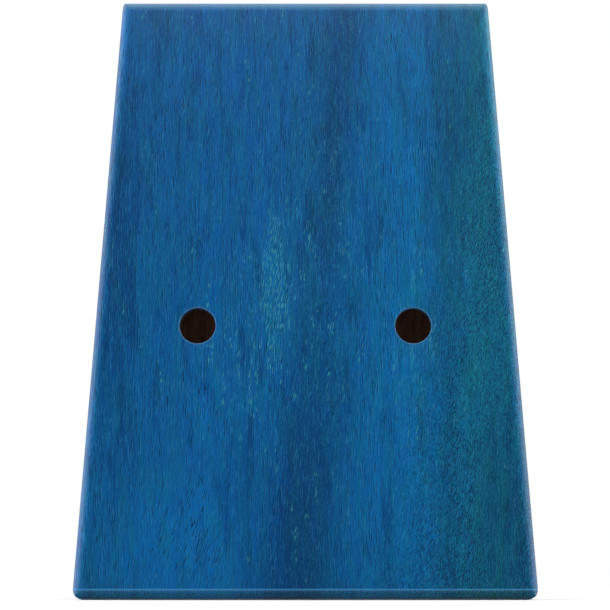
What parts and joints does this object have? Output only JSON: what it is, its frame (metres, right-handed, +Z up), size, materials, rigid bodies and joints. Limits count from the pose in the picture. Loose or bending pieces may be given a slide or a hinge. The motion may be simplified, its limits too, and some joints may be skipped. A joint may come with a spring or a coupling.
{
  "type": "mbira",
  "caption": "Hollow wooden box thumb piano in blue stain: sprung steel tines under a clamp bar, round sound hole in front, two tone holes in the back.",
  "frame": {"origin": "centre of the flat foot face that the instrument stands on", "axes": "+Z up from the foot to the head, -Y out of the back with the tone holes, +Y out of the playing side with the tines, +X to the player's left"},
  "size_m": [0.136, 0.0495, 0.185],
  "materials": {
    "blue_stained_wood": "gloss lacquer over blue stain",
    "raw_wood": "unfinished",
    "dark_wood": "satin oil",
    "polished_steel": "polished",
    "spring_steel": "fine brushed along the length",
    "brass": "machined"
  },
  "bodies": {
    "case": {"back_panel": "blue_stained_wood", "side_rail_left": "blue_stained_wood", "side_rail_right": "blue_stained_wood", "head_rail": "blue_stained_wood", "foot_rail": "blue_stained_wood", "soundboard": "blue_stained_wood", "clamp_block": "raw_wood", "bridge_base": "dark_wood", "front_saddle": "polished_steel", "rear_saddle": "polished_steel", "pressure_bar": "polished_steel", "clamp_screws": "polished_steel", "clamp_inserts": "brass"},
    "tine_01_tail": {"tine_01_tail": "spring_steel"},
    "tine_01_reed": {"tine_01_reed": "spring_steel"},
    "tine_02_tail": {"tine_02_tail": "spring_steel"},
    "tine_02_reed": {"tine_02_reed": "spring_steel"},
    "tine_03_tail": {"tine_03_tail": "spring_steel"},
    "tine_03_reed": {"tine_03_reed": "spring_steel"},
    "tine_04_tail": {"tine_04_tail": "spring_steel"},
    "tine_04_reed": {"tine_04_reed": "spring_steel"},
    "tine_05_tail": {"tine_05_tail": "spring_steel"},
    "tine_05_reed": {"tine_05_reed": "spring_steel"},
    "tine_06_tail": {"tine_06_tail": "spring_steel"},
    "tine_06_reed": {"tine_06_reed": "spring_steel"},
    "tine_07_tail": {"tine_07_tail": "spring_steel"},
    "tine_07_reed": {"tine_07_reed": "spring_steel"},
    "tine_08_tail": {"tine_08_tail": "spring_steel"},
    "tine_08_reed": {"tine_08_reed": "spring_steel"},
    "tine_09_tail": {"tine_09_tail": "spring_steel"},
    "tine_09_reed": {"tine_09_reed": "spring_steel"},
    "tine_10_tail": {"tine_10_tail": "spring_steel"},
    "tine_10_reed": {"tine_10_reed": "spring_steel"},
    "tine_11_tail": {"tine_11_tail": "spring_steel"},
    "tine_11_reed": {"tine_11_reed": "spring_steel"},
    "tine_12_tail": {"tine_12_tail": "spring_steel"},
    "tine_12_reed": {"tine_12_reed": "spring_steel"},
    "tine_13_tail": {"tine_13_tail": "spring_steel"},
    "tine_13_reed": {"tine_13_reed": "spring_steel"},
    "tine_14_tail": {"tine_14_tail": "spring_steel"},
    "tine_14_reed": {"tine_14_reed": "spring_steel"},
    "tine_15_tail": {"tine_15_tail": "spring_steel"},
    "tine_15_reed": {"tine_15_reed": "spring_steel"},
    "tine_16_tail": {"tine_16_tail": "spring_steel"},
    "tine_16_reed": {"tine_16_reed": "spring_steel"},
    "tine_17_tail": {"tine_17_tail": "spring_steel"},
    "tine_17_reed": {"tine_17_reed": "spring_steel"}
  },
  "joints": [
    {"name": "tine_01_tuning", "type": "slide", "parent": "case", "child": "tine_01_tail", "axis": [0, 0.0698, -0.9976], "range_m": [-0.0015, 0.0015]},
    {"name": "tine_01_flex", "type": "hinge", "parent": "tine_01_tail", "child": "tine_01_reed", "pos_m": [0.0512, 0.02663, 0.13106], "axis": [-1, 0, 0], "range_deg": [-3, 3], "stiffness_Nm_per_rad": 7.18},
    {"name": "tine_02_tuning", "type": "slide", "parent": "case", "child": "tine_02_tail", "axis": [0, 0.0698, -0.9976], "range_m": [-0.0015, 0.0015]},
    {"name": "tine_02_flex", "type": "hinge", "parent": "tine_02_tail", "child": "tine_02_reed", "pos_m": [0.0452, 0.02663, 0.13106], "axis": [-1, 0, 0], "range_deg": [-3, 3], "stiffness_Nm_per_rad": 6.58},
    {"name": "tine_03_tuning", "type": "slide", "parent": "case", "child": "tine_03_tail", "axis": [0, 0.0698, -0.9976], "range_m": [-0.0015, 0.0015]},
    {"name": "tine_03_flex", "type": "hinge", "parent": "tine_03_tail", "child": "tine_03_reed", "pos_m": [0.0376, 0.02663, 0.13106], "axis": [-1, 0, 0], "range_deg": [-3, 3], "stiffness_Nm_per_rad": 5.86},
    {"name": "tine_04_tuning", "type": "slide", "parent": "case", "child": "tine_04_tail", "axis": [0, 0.0698, -0.9976], "range_m": [-0.0015, 0.0015]},
    {"name": "tine_04_flex", "type": "hinge", "parent": "tine_04_tail", "child": "tine_04_reed", "pos_m": [0.0316, 0.02663, 0.13106], "axis": [-1, 0, 0], "range_deg": [-3, 3], "stiffness_Nm_per_rad": 5.38},
    {"name": "tine_05_tuning", "type": "slide", "parent": "case", "child": "tine_05_tail", "axis": [0, 0.0698, -0.9976], "range_m": [-0.0015, 0.0015]},
    {"name": "tine_05_flex", "type": "hinge", "parent": "tine_05_tail", "child": "tine_05_reed", "pos_m": [0.0256, 0.02663, 0.13106], "axis": [-1, 0, 0], "range_deg": [-3, 3], "stiffness_Nm_per_rad": 4.79},
    {"name": "tine_06_tuning", "type": "slide", "parent": "case", "child": "tine_06_tail", "axis": [0, 0.0698, -0.9976], "range_m": [-0.0015, 0.0015]},
    {"name": "tine_06_flex", "type": "hinge", "parent": "tine_06_tail", "child": "tine_06_reed", "pos_m": [0.0196, 0.02663, 0.13106], "axis": [-1, 0, 0], "range_deg": [-3, 3], "stiffness_Nm_per_rad": 4.39},
    {"name": "tine_07_tuning", "type": "slide", "parent": "case", "child": "tine_07_tail", "axis": [0, 0.0698, -0.9976], "range_m": [-0.0015, 0.0015]},
    {"name": "tine_07_flex", "type": "hinge", "parent": "tine_07_tail", "child": "tine_07_reed", "pos_m": [0.012, 0.02663, 0.13106], "axis": [-1, 0, 0], "range_deg": [-3, 3], "stiffness_Nm_per_rad": 3.91},
    {"name": "tine_08_tuning", "type": "slide", "parent": "case", "child": "tine_08_tail", "axis": [0, 0.0698, -0.9976], "range_m": [-0.0015, 0.0015]},
    {"name": "tine_08_flex", "type": "hinge", "parent": "tine_08_tail", "child": "tine_08_reed", "pos_m": [0.006, 0.02663, 0.13106], "axis": [-1, 0, 0], "range_deg": [-3, 3], "stiffness_Nm_per_rad": 3.59},
    {"name": "tine_09_tuning", "type": "slide", "parent": "case", "child": "tine_09_tail", "axis": [0, 0.0698, -0.9976], "range_m": [-0.0015, 0.0015]},
    {"name": "tine_09_flex", "type": "hinge", "parent": "tine_09_tail", "child": "tine_09_reed", "pos_m": [0, 0.02663, 0.13106], "axis": [-1, 0, 0], "range_deg": [-3, 3], "stiffness_Nm_per_rad": 3.39},
    {"name": "tine_10_tuning", "type": "slide", "parent": "case", "child": "tine_10_tail", "axis": [0, 0.0698, -0.9976], "range_m": [-0.0015, 0.0015]},
    {"name": "tine_10_flex", "type": "hinge", "parent": "tine_10_tail", "child": "tine_10_reed", "pos_m": [-0.006, 0.02663, 0.13106], "axis": [-1, 0, 0], "range_deg": [-3, 3], "stiffness_Nm_per_rad": 3.8},
    {"name": "tine_11_tuning", "type": "slide", "parent": "case", "child": "tine_11_tail", "axis": [0, 0.0698, -0.9976], "range_m": [-0.0015, 0.0015]},
    {"name": "tine_11_flex", "type": "hinge", "parent": "tine_11_tail", "child": "tine_11_reed", "pos_m": [-0.012, 0.02663, 0.13106], "axis": [-1, 0, 0], "range_deg": [-3, 3], "stiffness_Nm_per_rad": 4.15},
    {"name": "tine_12_tuning", "type": "slide", "parent": "case", "child": "tine_12_tail", "axis": [0, 0.0698, -0.9976], "range_m": [-0.0015, 0.0015]},
    {"name": "tine_12_flex", "type": "hinge", "parent": "tine_12_tail", "child": "tine_12_reed", "pos_m": [-0.0196, 0.02663, 0.13106], "axis": [-1, 0, 0], "range_deg": [-3, 3], "stiffness_Nm_per_rad": 4.65},
    {"name": "tine_13_tuning", "type": "slide", "parent": "case", "child": "tine_13_tail", "axis": [0, 0.0698, -0.9976], "range_m": [-0.0015, 0.0015]},
    {"name": "tine_13_flex", "type": "hinge", "parent": "tine_13_tail", "child": "tine_13_reed", "pos_m": [-0.0256, 0.02663, 0.13106], "axis": [-1, 0, 0], "range_deg": [-3, 3], "stiffness_Nm_per_rad": 5.07},
    {"name": "tine_14_tuning", "type": "slide", "parent": "case", "child": "tine_14_tail", "axis": [0, 0.0698, -0.9976], "range_m": [-0.0015, 0.0015]},
    {"name": "tine_14_flex", "type": "hinge", "parent": "tine_14_tail", "child": "tine_14_reed", "pos_m": [-0.0316, 0.02663, 0.13106], "axis": [-1, 0, 0], "range_deg": [-3, 3], "stiffness_Nm_per_rad": 5.53},
    {"name": "tine_15_tuning", "type": "slide", "parent": "case", "child": "tine_15_tail", "axis": [0, 0.0698, -0.9976], "range_m": [-0.0015, 0.0015]},
    {"name": "tine_15_flex", "type": "hinge", "parent": "tine_15_tail", "child": "tine_15_reed", "pos_m": [-0.0376, 0.02663, 0.13106], "axis": [-1, 0, 0], "range_deg": [-3, 3], "stiffness_Nm_per_rad": 6.21},
    {"name": "tine_16_tuning", "type": "slide", "parent": "case", "child": "tine_16_tail", "axis": [0, 0.0698, -0.9976], "range_m": [-0.0015, 0.0015]},
    {"name": "tine_16_flex", "type": "hinge", "parent": "tine_16_tail", "child": "tine_16_reed", "pos_m": [-0.0452, 0.02663, 0.13106], "axis": [-1, 0, 0], "range_deg": [-3, 3], "stiffness_Nm_per_rad": 6.77},
    {"name": "tine_17_tuning", "type": "slide", "parent": "case", "child": "tine_17_tail", "axis": [0, 0.0698, -0.9976], "range_m": [-0.0015, 0.0015]},
    {"name": "tine_17_flex", "type": "hinge", "parent": "tine_17_tail", "child": "tine_17_reed", "pos_m": [-0.0512, 0.02663, 0.13106], "axis": [-1, 0, 0], "range_deg": [-3, 3], "stiffness_Nm_per_rad": 7.6}
  ]
}
